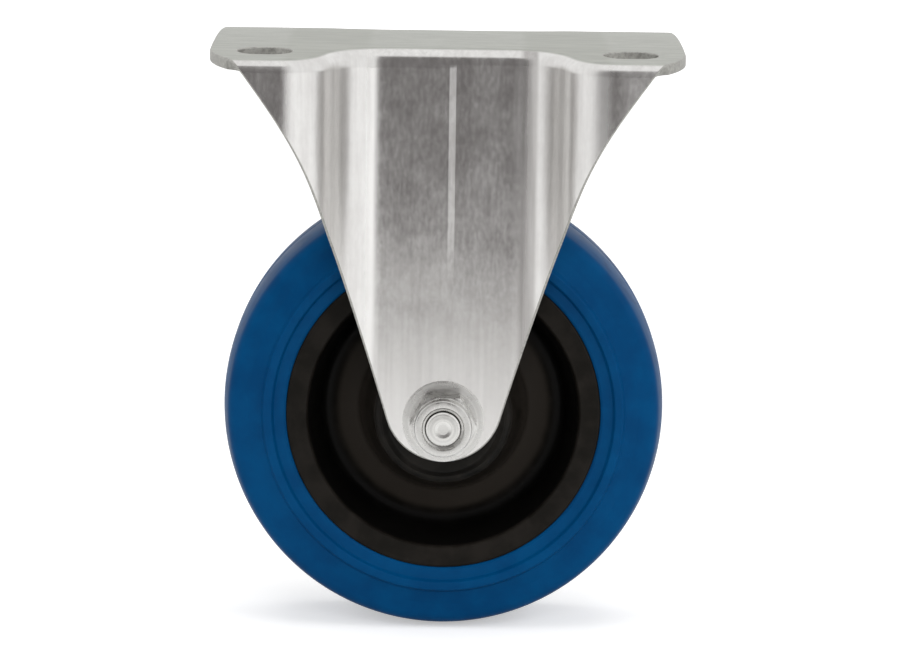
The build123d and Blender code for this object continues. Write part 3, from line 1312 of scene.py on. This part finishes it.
class SheetSkin:
    """One face of a bent sheet, with exact shading, that is then given thickness.

    Places are in mm. The other face's points can be lifted, so that a leaning wall
    is cut straight through.
    """

    def __init__(self) -> None:
        """Start with no points."""
        self.points: list[Vector] = []
        self.normals: list[Vector] = []
        self.faces: list[tuple[int, ...]] = []
        self.known: dict[tuple[int, ...], int] = {}
        self.lifts: dict[int, float] = {}
        self.skins = 0

    def point(self, place: Vector, normal: Vector) -> int:
        """Add a point, or find it if it is there.

        Args:
            place: Where it is, in mm.
            normal: Which way the surface faces there.

        Returns:
            The point's number.
        """
        key = tuple(round(part * KEY_STEPS) for part in (*place, *normal))
        if key not in self.known:
            self.known[key] = len(self.points)
            self.points.append(place.copy())
            self.normals.append(normal.normalized())
        return self.known[key]

    def face(self, corners: Sequence[int]) -> None:
        """Add a face that looks the way its points do, unless it has no area.

        Args:
            corners: Its points' numbers.
        """
        kept = [c for i, c in enumerate(corners) if c != corners[i - 1]]
        if len(set(kept)) < 3:
            return
        facing = Vector()
        for index, corner in enumerate(kept):
            facing += self.points[kept[index - 1]].cross(self.points[corner])
        if facing.dot(sum((self.normals[c] for c in kept), Vector())) < 0:
            kept.reverse()
        self.faces.append(tuple(kept))

    def strip(self, first: Sequence[int], second: Sequence[int]) -> None:
        """Join two closed rows of points.

        Args:
            first: One row.
            second: The other row, as long as the first.
        """
        for step in range(len(first)):
            following = (step + 1) % len(first)
            self.face((first[step], second[step], second[following], first[following]))

    def thicken(self, rims: Sequence[Rim], thickness: float, edge: float, steps: int = 4) -> None:
        """Add the sheet's other face and its rounded cut edges.

        Args:
            rims: Closed rows of border points, each with its way out of the sheet.
            thickness: Thickness of the sheet in mm.
            edge: Rounding of the cut edges in mm.
            steps: Number of flats on each rounding.
        """
        count = len(self.points)
        outer_faces = list(self.faces)
        lifts = [Vector((0, 0, self.lifts.get(i, 0.0))) for i in range(count)]
        twins = [
            self.point(self.points[i] + lifts[i] - self.normals[i] * thickness, -self.normals[i])
            for i in range(count)
        ]
        for corners in outer_faces:
            self.face([twins[c] for c in corners])
        self.skins = len(self.faces)
        for rim in rims:
            rows = [[index for index, _ in rim]]
            for base, way in ((0.0, 1.0), (thickness, -1.0)):
                turns = range(1, steps + 1) if way > 0 else range(steps, 0, -1)
                for turn in (math.pi / 2 * step / steps for step in turns):
                    row = []
                    for index, out in rim:
                        place, normal = self.points[index], self.normals[index]
                        if way < 0:
                            place = place + lifts[index]
                        depth = base + way * edge * (1 - math.cos(turn))
                        spot = place + out * edge * math.sin(turn) - normal * depth
                        facing = normal * way * math.cos(turn) + out * math.sin(turn)
                        row.append(self.point(spot, facing))
                    rows.append(row)
            rows.append([twins[index] for index, _ in rim])
            for first, second in zip(rows, rows[1:]):
                self.strip(first, second)

    def finished(self, name: str, bend: Callable[[Vector, Vector], Facing]) -> bpy.types.Object:
        """Turn the skin into an object, with a second material on its cut edges.

        Args:
            name: Name of the piece.
            bend: Moves each point and its normal to their last places, in mm.

        Returns:
            The object, linked to the scene.
        """
        bent = [bend(place, normal) for place, normal in zip(self.points, self.normals)]
        mesh = bpy.data.meshes.new(name)
        mesh.from_pydata([place * MM for place, _ in bent], [], self.faces)
        mesh.shade_smooth()
        for polygon in mesh.polygons[self.skins:]:
            polygon.material_index = 1
        mesh.normals_split_custom_set_from_vertices([normal.normalized() for _, normal in bent])
        return linked(name, mesh)


@dataclass(frozen=True)
class Station:
    """A place along the leg's plan: the outer face and which way it looks."""

    x: float
    y: float
    turn: float

    @property
    def way(self) -> Vector:
        """Level direction out of the sheet."""
        return Vector((-math.sin(self.turn), math.cos(self.turn), 0))


@dataclass
class Bracket:
    """Pressed fork: slotted plate with a slight crown, fluted legs and rounded feet.

    Sizes are in mm, from the middle of the plate's top. The numbers of steps and
    rows set how fine the mesh is, and the patch is where a leg makes room for its
    axle hole.
    """

    length: float = 104.3
    width: float = 85.0
    sheet: float = 2.5
    edge: float = 0.35
    bend: float = 2.7
    panel_bend: float = 3.4
    panel_reach: float = 26.0
    panel_half: float = 14.4
    flute_run: float = 21.8
    flute_ease: float = 2.8
    flute_bends: tuple[float, float] = (0.05, 0.2)
    flute_tries: int = 40
    drop: float = 83.8
    foot_radius: float = 13.2
    foot_rise: float = 4.0
    taper: float = 17.0
    taper_height: float = 45.0
    flare_radius: float = 118.0
    corner_radius: float = 20.0
    slot_x: float = 40.0
    slot_y: float = 30.0
    slot_half: float = 1.5
    slot_radius: float = 4.5
    hole_radius: float = 4.2
    crown: float = 1.8
    crown_reach: float = 38.0
    crown_fade: float = 26.0
    crown_end: float = 30.0
    trace_step: float = 0.125
    trace_kept: int = 4
    panel_steps: int = 14
    wing_steps: int = 18
    bend_rows: int = 8
    wall_rows: int = 36
    patch_half: int = 6
    patch_rows: tuple[int, int] = (29, 35)
    slot_steps: int = 48
    corner_steps: int = 8
    end_steps: int = 10
    grid: float = 3.1
    grid_shift: float = 0.7
    grid_half: tuple[int, int] = (16, 12)
    grid_margin: float = 1.5
    slot_margin: float = 1.0
    flute_margin: float = 1.0
    corner_margin: float = 2.0
    finish: Finish = field(default_factory=lambda: PressedZinc("pressed_zinc"))
    cut_finish: Finish = field(default_factory=lambda: ShearedEdge("sheared_edge"))

    def __post_init__(self) -> None:
        """Work out the outline's arcs and the flute's curve."""
        taper = math.radians(self.taper)
        self.wing = self.width / 2
        self.flat = self.wing - self.bend
        self.bend_run = self.bend * math.pi / 2
        self.foot_centre = self.foot_rise - self.drop
        self.foot_end = self.foot_radius * math.cos(taper)
        self.taper_base = self.foot_centre - self.foot_radius * math.sin(taper)
        self.taper_top = self.taper_height - self.drop
        self.taper_end = self.foot_end + (self.taper_top - self.taper_base) * math.tan(taper)
        self.flare_x = self.taper_end + self.flare_radius * math.cos(taper)
        self.flare_z = self.taper_top - self.flare_radius * math.sin(taper)
        across = self.flare_x - self.length / 2 + self.corner_radius
        reach = self.flare_radius + self.corner_radius
        unrolled = self.flat + self.bend_run - self.bend - self.flare_z
        self.corner_x = self.length / 2 - self.corner_radius
        self.corner_y = unrolled - math.sqrt(reach ** 2 - across ** 2)
        self.corner_start = self.corner_x + self.corner_radius * across / reach

    def fall(self, x: float) -> float:
        """How far the sheet runs on, past the start of the top bend, at a place along X.

        Args:
            x: Distance from the middle in mm.

        Returns:
            The distance over the bend and down the leg, in mm.
        """
        x = abs(x)
        if x > self.corner_start:
            rise = math.sqrt(self.corner_radius ** 2 - (x - self.corner_x) ** 2)
            return self.corner_y + rise - self.flat
        if x < self.foot_end:
            bottom = self.foot_centre - math.sqrt(self.foot_radius ** 2 - x ** 2)
        elif x < self.taper_end:
            bottom = self.taper_base + (x - self.foot_end) / math.tan(math.radians(self.taper))
        else:
            bottom = self.flare_z + math.sqrt(self.flare_radius ** 2 - (self.flare_x - x) ** 2)
        return self.bend_at(x) * (math.pi / 2 - 1) - bottom

    def bend_at(self, x: float) -> float:
        """Outer radius of the top bend, which is tighter along the plate's ends.

        Args:
            x: Distance from the middle in mm.

        Returns:
            The radius in mm.
        """
        share = min(1.0, max(0.0, (abs(x) - self.panel_half) / self.flute_run))
        return self.panel_bend + (self.bend - self.panel_bend) * eased(share)

    def half_flute(self, run: float, curvature: float) -> list[tuple[float, float, float]]:
        """Trace half of the flute's curve, which is eased where it starts and ends.

        Args:
            run: Length of the plain arc in mm.
            curvature: Its curvature in 1/mm.

        Returns:
            Place along X and Y from the flute's middle, and the way it runs there.
        """
        step, ease = self.trace_step, self.flute_ease
        turn = curvature * (run - ease / 2)
        x = y = 0.0
        half = [(x, y, turn)]
        for index in range(round((run + ease) / step)):
            at = (index + 0.5) * step
            turn -= step * curvature * min(1.0, at / ease, max(0.0, (run + ease - at) / (2 * ease)))
            x += step * math.cos(turn)
            y += step * math.sin(turn)
            half.append((x, y, max(0.0, turn)))
        return half

    def flute(self) -> list[Station]:
        """Find the S-shaped flute that runs from the panel to the wing.

        Returns:
            Its stations, from the panel outwards.
        """
        rise = (self.wing - self.panel_reach) / 2
        angle = 2 * math.atan2(2 * rise, self.flute_run)
        run = angle * self.flute_run / (2 * math.sin(angle))
        low, high = self.flute_bends
        for _ in range(self.flute_tries):
            curvature = (low + high) / 2
            half = self.half_flute(run, curvature)
            if half[-1][1] > rise:
                high = curvature
            else:
                low = curvature
        middle = (self.panel_half + self.flute_run / 2, self.panel_reach + rise)
        kept = half[::self.trace_kept]
        if (len(half) - 1) % self.trace_kept:
            kept.append(half[-1])
        inner = [Station(middle[0] - px, middle[1] - py, turn) for px, py, turn in reversed(kept)]
        outer = [Station(middle[0] + px, middle[1] + py, turn) for px, py, turn in kept[1:]]
        return inner + outer

    def plan(self) -> list[Station]:
        """The whole plan of one leg, from the left end of the bend to the right one.

        Returns:
            Its stations.
        """
        flute = self.flute()
        first, last = flute[0].x, flute[-1].x
        inset = self.corner_radius - self.edge
        end = self.corner_x + math.sqrt(inset ** 2 - (self.flat - self.corner_y) ** 2)
        panel = [first * step / self.panel_steps for step in range(self.panel_steps)]
        wing = [last + (end - last) * step / self.wing_steps for step in range(1, self.wing_steps + 1)]
        right = [Station(x, self.panel_reach, 0.0) for x in panel] + flute
        right += [Station(x, self.wing, 0.0) for x in wing]
        left = [Station(-s.x, s.y, -s.turn) for s in reversed(right[1:])]
        return left + right

    def spot(self, at: Station, run: float) -> Facing:
        """A point of the outer face on a back leg and the way it looks.

        Args:
            at: Place along the plan.
            run: Distance from the start of the top bend, in mm.

        Returns:
            The point and its normal.
        """
        bend = self.bend_at(at.x)
        face, drop = Vector((at.x, at.y, 0)), Vector((0, 0, bend))
        if run >= bend * math.pi / 2:
            return face - drop - Vector((0, 0, run - bend * math.pi / 2)), at.way
        turn = run / bend
        normal = at.way * math.sin(turn) + Vector((0, 0, math.cos(turn)))
        return face - at.way * bend + normal * bend - drop, normal

    def leg(self, skin: SheetSkin, side: Side) -> tuple[list[int], Rim, Rim]:
        """Build one leg with its bend.

        Args:
            skin: The skin that it is added to.
            side: Which leg.

        Returns:
            The row along the plate, the leg's border and the rim of its axle hole.
        """
        stations = self.plan()
        last = len(stations) - 1
        flip = Vector((1, side.value, 1))
        columns: list[list[int]] = []
        border: Rim = []
        cuts = [self.fall(at.x) for at in stations]
        lengths = [0.0]
        for before, at in zip(stations, stations[1:]):
            lengths.append(lengths[-1] + math.hypot(at.x - before.x, at.y - before.y))
        for index, at in enumerate(stations):
            before, after = max(0, index - 1), min(last, index + 1)
            slope = (cuts[after] - cuts[before]) / (lengths[after] - lengths[before])
            run = max(0.0, cuts[index] - self.edge * math.hypot(1, slope))
            if index in (0, last):
                run = 0.0
            bend_end = min(run, self.bend_at(at.x) * math.pi / 2)
            wall = run - bend_end
            runs = [bend_end * step / self.bend_rows for step in range(self.bend_rows)]
            runs += [bend_end + wall * step / self.wall_rows for step in range(self.wall_rows + 1)]
            spots = [self.spot(at, each) for each in runs]
            columns.append([skin.point(place * flip, normal * flip) for place, normal in spots])
            lift = cuts[index] - self.fall(at.x + self.sheet * math.sin(at.turn))
            for row in range(1, self.wall_rows + 1):
                skin.lifts[columns[-1][self.bend_rows + row]] = lift * row / self.wall_rows
            along = Vector((math.cos(at.turn), math.sin(at.turn), 0))
            down = spots[-1][1].cross(along)
            border.append((columns[-1][-1], ((down - along * slope) * flip).normalized()))
        return [column[0] for column in columns], border, self.wall(skin, side, columns)

    def wall(self, skin: SheetSkin, side: Side, columns: Sequence[Sequence[int]]) -> Rim:
        """Fill a leg between its columns of points, around its axle hole.

        Args:
            skin: The skin that the leg is added to.
            side: Which leg.
            columns: Its points, column by column from the plate down.

        Returns:
            The rim of the axle hole.
        """
        middle = len(columns) // 2
        patch = range(middle - self.patch_half, middle + self.patch_half + 1)
        top, low = (self.bend_rows + row for row in self.patch_rows)
        for column, (near, far) in enumerate(zip(columns, columns[1:])):
            for row in range(self.bend_rows + self.wall_rows):
                if column in patch[:-1] and top <= row < low:
                    continue
                skin.face((near[row], near[row + 1], far[row + 1], far[row]))
        around = [columns[c][top] for c in patch]
        around += [columns[patch[-1]][r] for r in range(top + 1, low + 1)]
        around += [columns[c][low] for c in reversed(patch[:-1])]
        around += [columns[patch[0]][r] for r in range(low - 1, top, -1)]
        centre = Vector((0, side.value * self.panel_reach, -self.drop))
        rim = []
        for index in around:
            ray = (skin.points[index] - centre).normalized()
            place = centre + ray * (self.hole_radius + self.edge)
            rim.append((skin.point(place, skin.normals[index]), -ray))
        skin.strip(around, [index for index, _ in rim])
        return rim

    def slots(self) -> list[list[Facing]]:
        """Trace the plate's four slots.

        Returns:
            Their outlines, each point with its way into the slot.
        """
        outlines = []
        for x, y in ((1, 1), (1, -1), (-1, 1), (-1, -1)):
            outline = []
            for step in range(self.slot_steps):
                turn = math.tau * (step + 0.5) / self.slot_steps
                ray = Vector((math.cos(turn), math.sin(turn), 0))
                run = math.copysign(self.slot_half, ray.x)
                middle = Vector((x * self.slot_x + run, y * self.slot_y, 0))
                outline.append((middle + ray * (self.slot_radius + self.edge), -ray))
            outlines.append(outline)
        return outlines

    def plate_end(self) -> list[Facing]:
        """Trace the plate's right end from the back bend to the front one.

        Returns:
            Its points, each with its way out of the plate.
        """
        inset = self.corner_radius - self.edge
        start = math.asin((self.flat - self.corner_y) / inset)
        right, end = Vector((1, 0, 0)), self.length / 2 - self.edge
        half = []
        for step in range(1, self.corner_steps + 1):
            turn = start * (1 - step / self.corner_steps)
            ray = Vector((math.cos(turn), math.sin(turn), 0))
            half.append((Vector((self.corner_x, self.corner_y, 0)) + ray * inset, ray))
        for step in range(1, self.end_steps):
            half.append((Vector((end, self.corner_y * (1 - step / self.end_steps), 0)), right))
        flip = Vector((1, -1, 1))
        other = [(place * flip, ray * flip) for place, ray in reversed(half)]
        return [*half, (Vector((end, 0, 0)), right), *other]

    def plate(self, skin: SheetSkin, rows: dict[Side, list[int]]) -> tuple[list[Rim], dict[Side, Rim]]:
        """Fill the plate between the two bends, around its slots.

        Args:
            skin: The skin that it is added to.
            rows: The points along both bends, from left to right.

        Returns:
            The slots' rims, and the border from each bend's right or left end around
            the plate's corners.
        """
        ends = {}
        for side in reversed(Side):
            flip = Vector((side.value, side.value, 1))
            ends[side] = [(skin.point(place * flip, UP), ray * flip) for place, ray in self.plate_end()]
        loop = rows[Side.BACK] + [index for index, _ in ends[Side.BACK]]
        loop += list(reversed(rows[Side.FRONT])) + [index for index, _ in ends[Side.FRONT]]
        rims = [[(skin.point(place, UP), ray) for place, ray in outline] for outline in self.slots()]
        loops = [loop] + [[index for index, _ in rim] for rim in rims]
        numbers = [index for each in loops for index in each]
        flat = [skin.points[index].to_2d() for index in numbers]
        edges, begin = [], 0
        for each in loops:
            edges += [(begin + i, begin + (i + 1) % len(each)) for i in range(len(each))]
            begin += len(each)
        across, deep = self.grid_half
        for column in range(-across, across + 1):
            for row in range(-deep, deep + 1):
                spot = Vector((column, row)) * self.grid + Vector((0, column % 2 * self.grid_shift))
                if self.clear(spot):
                    flat.append(spot)
                    numbers.append(skin.point(spot.to_3d(), UP))
        made, _, faces, sources = delaunay_2d_cdt(flat, edges, [], 1, PLATE_WELD)[:4]
        for corners in faces:
            middle = sum((made[c] for c in corners), Vector((0, 0))) / len(corners)
            if not self.in_slot(middle, 0.0):
                skin.face([numbers[sources[c][0]] for c in corners])
        return rims, ends

    def in_slot(self, spot: Vector, margin: float) -> bool:
        """Whether a place on the plate lies in one of the slots.

        Args:
            spot: The place, in mm.
            margin: Distance outside the slots that still counts.

        Returns:
            Whether it does.
        """
        beside = max(0.0, abs(abs(spot.x) - self.slot_x) - self.slot_half)
        return math.hypot(beside, abs(spot.y) - self.slot_y) < self.slot_radius + self.edge + margin

    def clear(self, spot: Vector) -> bool:
        """Whether a place lies on the plate, away from its slots and its borders.

        Args:
            spot: The place, in mm.

        Returns:
            Whether it does.
        """
        x, y = abs(spot.x), abs(spot.y)
        if self.in_slot(spot, self.slot_margin) or x > self.length / 2 - self.grid_margin:
            return False
        reach = self.panel_reach - self.panel_bend
        if x > self.panel_half + self.flute_run + self.flute_ease + self.flute_margin:
            reach = self.flat
        beyond = math.hypot(max(0.0, x - self.corner_x), max(0.0, y - self.corner_y))
        return y < reach - self.grid_margin and beyond < self.corner_radius - self.corner_margin

    def crowned(self, place: Vector, normal: Vector) -> Facing:
        """Give the plate the slight crown that the pressing leaves.

        Args:
            place: A point of the flat plate or its legs.
            normal: The normal there.

        Returns:
            Both as they are on the crowned plate.
        """
        share = min(1.0, max(0.0, (place.z + self.crown_end) / self.crown_fade))
        weight = eased(share)
        growth = 6 * share * (1 - share) / self.crown_fade
        sag = self.crown * (place.y / self.crown_reach) ** 2
        slope = 2 * self.crown * place.y / self.crown_reach ** 2 * weight
        level = normal.z / (1 - sag * growth)
        moved = Vector((place.x, place.y, place.z - sag * weight))
        return moved, Vector((normal.x, normal.y + slope * level, level))

    def build(self) -> bpy.types.Object:
        """Make the bracket and put it in the CAD bracket's place.

        Returns:
            The bracket.
        """
        skin = SheetSkin()
        rows: dict[Side, list[int]] = {}
        borders: dict[Side, Rim] = {}
        rims = []
        for side in Side:
            rows[side], borders[side], hole = self.leg(skin, side)
            rims.append(hole)
        slot_rims, ends = self.plate(skin, rows)
        rims += slot_rims
        right_end, left_end = ends[Side.BACK], ends[Side.FRONT]
        outline = borders[Side.BACK] + right_end + list(reversed(borders[Side.FRONT])) + left_end
        rims.append(outline)
        skin.thicken(rims, self.sheet, self.edge)
        piece = skin.finished("bracket_skin", self.crowned)
        piece.data.materials.append(self.finish.material())
        piece.data.materials.append(self.cut_finish.material())
        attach(piece, Body.FORK.value)
        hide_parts("bracket")
        return piece


# The studio


Place = tuple[float, float, float]


@dataclass(frozen=True)
class Lamp:
    """A square soft lamp: its name, place and side in metres, and power in watts."""

    name: str
    place: Place
    side: float
    power: float


@dataclass
class Studio:
    """Camera, floor, lamps and the light that the metal reflects.

    The camera's sizes are in mm, degrees and pixels of the photograph, the rest in metres.
    """

    distance: float = 885.0
    rise: float = 160.0
    pitch: float = 9.14
    roll: float = 0.75
    focal_pixels: float = 3920.0
    centre_column: float = 444.4
    frame_width: int = 900
    sensor: float = 36.0
    clip: tuple[float, float] = (0.01, 50.0)
    floor_half: float = 6.0
    sweep_columns: tuple[float, ...] = (-0.75, -0.3, 0.0, 0.2)
    sweep_line: tuple[tuple[float, float], ...] = (
        (-0.25, 0.002), (-0.34, 0.002), (-0.44, 0.002),
        (-0.485, 0.004), (-0.5, 0.02), (-0.5, 0.2), (-0.5, 1.0),
    )
    lamp_aim: float = -0.06
    lamps: tuple[Lamp, ...] = (
        Lamp("left_softbox", (-1.1, -0.5, 0.5), 0.9, 4.4),
        Lamp("right_softbox", (1.1, -0.5, 0.5), 0.9, 7.0),
        Lamp("front_softbox", (0.15, -1.35, 0.45), 0.8, 8.0),
        Lamp("top_softbox", (0, 0.1, 1.3), 1.2, 9.0),
    )
    fill: float = 0.42
    air_eye: float = 0.58
    air_gloss: float = 0.63

    def camera(self) -> None:
        """Set up the camera at the photograph's viewing angle."""
        data = bpy.data.cameras.new("camera")
        data.sensor_width = self.sensor
        data.sensor_fit = "HORIZONTAL"
        data.lens = self.focal_pixels * self.sensor / self.frame_width
        data.shift_x = (self.frame_width / 2 - self.centre_column) / self.frame_width
        data.clip_start, data.clip_end = self.clip
        camera = linked("camera", data)
        camera.location = (0, -self.distance * MM, AXLE_HEIGHT + self.rise * MM)
        aim = Euler((math.radians(90 - self.pitch), 0, 0)).to_matrix()
        lean = Matrix.Rotation(math.radians(self.roll), 3, "Z")
        camera.rotation_euler = (aim @ lean).to_euler()
        bpy.context.scene.camera = camera

    def sheet(self, name: str, rows: Sequence[Sequence[Place]], finish: Finish) -> bpy.types.Object:
        """Make one sheet of the studio.

        Args:
            name: Name of the sheet.
            rows: Rows of two or more points in metres, from one end to the other.
            finish: What it is covered with.

        Returns:
            The sheet, marked as not part of the object.
        """
        shape = bmesh.new()
        made = [[shape.verts.new(corner) for corner in row] for row in rows]
        for first, second in zip(made, made[1:]):
            for step in range(len(first) - 1):
                shape.faces.new((first[step], first[step + 1], second[step + 1], second[step]))
        piece = new_piece(name, shape)
        finish.dress(piece)
        return piece

    def floor(self) -> None:
        """Lay the white floor."""
        ends = (-self.floor_half, self.floor_half)
        rows = [[(x, y, FLOOR_HEIGHT) for x in ends] for y in ends]
        self.sheet("floor", rows, StudioFloor("white_floor"))

    def sweep(self) -> None:
        """Hang the grey sweep that only the glossy faces see."""
        rows = [[(x, y, FLOOR_HEIGHT + z) for x in self.sweep_columns] for y, z in self.sweep_line]
        piece = self.sheet("grey_sweep", rows, GreySweep("grey_cloth"))
        piece.visible_camera = False
        piece.visible_diffuse = False
        piece.visible_shadow = False
        piece.visible_transmission = False

    def light(self) -> None:
        """Hang the soft lamps, which the metal doesn't mirror."""
        for lamp in self.lamps:
            data = bpy.data.lights.new(lamp.name, "AREA")
            data.shape = "SQUARE"
            data.size = lamp.side
            data.energy = lamp.power
            hung = linked(lamp.name, data)
            hung.location = lamp.place
            hung.visible_glossy = False
            way = Vector((0, 0, self.lamp_aim)) - Vector(lamp.place)
            hung.rotation_euler = way.to_track_quat("-Z", "Y").to_euler()

    def surroundings(self) -> None:
        """Set the world: white to the eye and to gloss, soft fill for the rest."""
        world = bpy.data.worlds.new("studio_air")
        bpy.context.scene.world = world
        bench = Bench(world)
        level = bench.seen(self.air_eye, self.air_gloss) + self.fill
        light = bench.node("ShaderNodeBackground", feeds={"Color": (1, 1, 1, 1), "Strength": level})
        bench.output(light, "ShaderNodeOutputWorld")

    def build(self) -> None:
        """Set up the whole studio."""
        self.camera()
        self.floor()
        self.sweep()
        self.light()
        self.surroundings()
        bpy.context.scene.view_settings.view_transform = "Standard"


# CAD nodes that keep their shape


@dataclass
class CarriedNodes:
    """CAD nodes whose shape is right and which only get a finish."""

    finishes: dict[str, Finish] = field(default_factory=dict)

    def __post_init__(self) -> None:
        """Pair the nodes with their finishes."""
        turned = TurnedMetal("turned_steel", colour("b9b8b6"), 0.28)
        bearing = TurnedMetal("ground_bearing_steel", colour("c2c2c4"), 0.16)
        shield = TurnedMetal("pressed_shield", colour("aeaeb0"), 0.3)
        ball = TurnedMetal("polished_ball", colour("d9dade"), 0.07)
        cage = MouldedPlastic("natural_cage_plastic", colour("a89f80"), colour("bdb493"), 0.45)
        ring = MouldedPlastic("locking_ring_plastic", colour("33312e"), colour("43403c"), 0.4)
        self.finishes.update({
            "nut_insert": ring,
            "axle_tube": turned,
            "bearing_spacer": turned,
        })
        for side in Side:
            self.finishes.update({
                f"{side.word}_bush": turned,
                f"{side.word}_outer_ring": bearing,
                f"{side.word}_inner_ring": bearing,
                f"{side.word}_balls": ball,
                f"{side.word}_cage": cage,
                f"{side.word}_inner_shield": shield,
                f"{side.word}_outer_shield": shield,
            })

    def build(self) -> None:
        """Dress each node."""
        for name, finish in self.finishes.items():
            finish.dress(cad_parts[name])
            LOG.info("%s keeps its CAD shape with %s", name, finish.name)


def report(pieces: Iterable[bpy.types.Object]) -> None:
    """Log each piece's name and number of faces.

    Args:
        pieces: The pieces.
    """
    for piece in pieces:
        LOG.info("%s: %d faces", piece.name, len(piece.data.polygons))


def main() -> None:
    """Build the castor's looks and the studio in order."""
    logging.basicConfig(level=logging.INFO, format="%(name)s: %(message)s")
    report([Bracket().build(), LockNut().build(), AxleBolt().build()])
    report([Tyre().build(), WheelCore().build(), *DustCaps().build()])
    CarriedNodes().build()
    Studio().build()


if __name__ == "__main__":
    main()
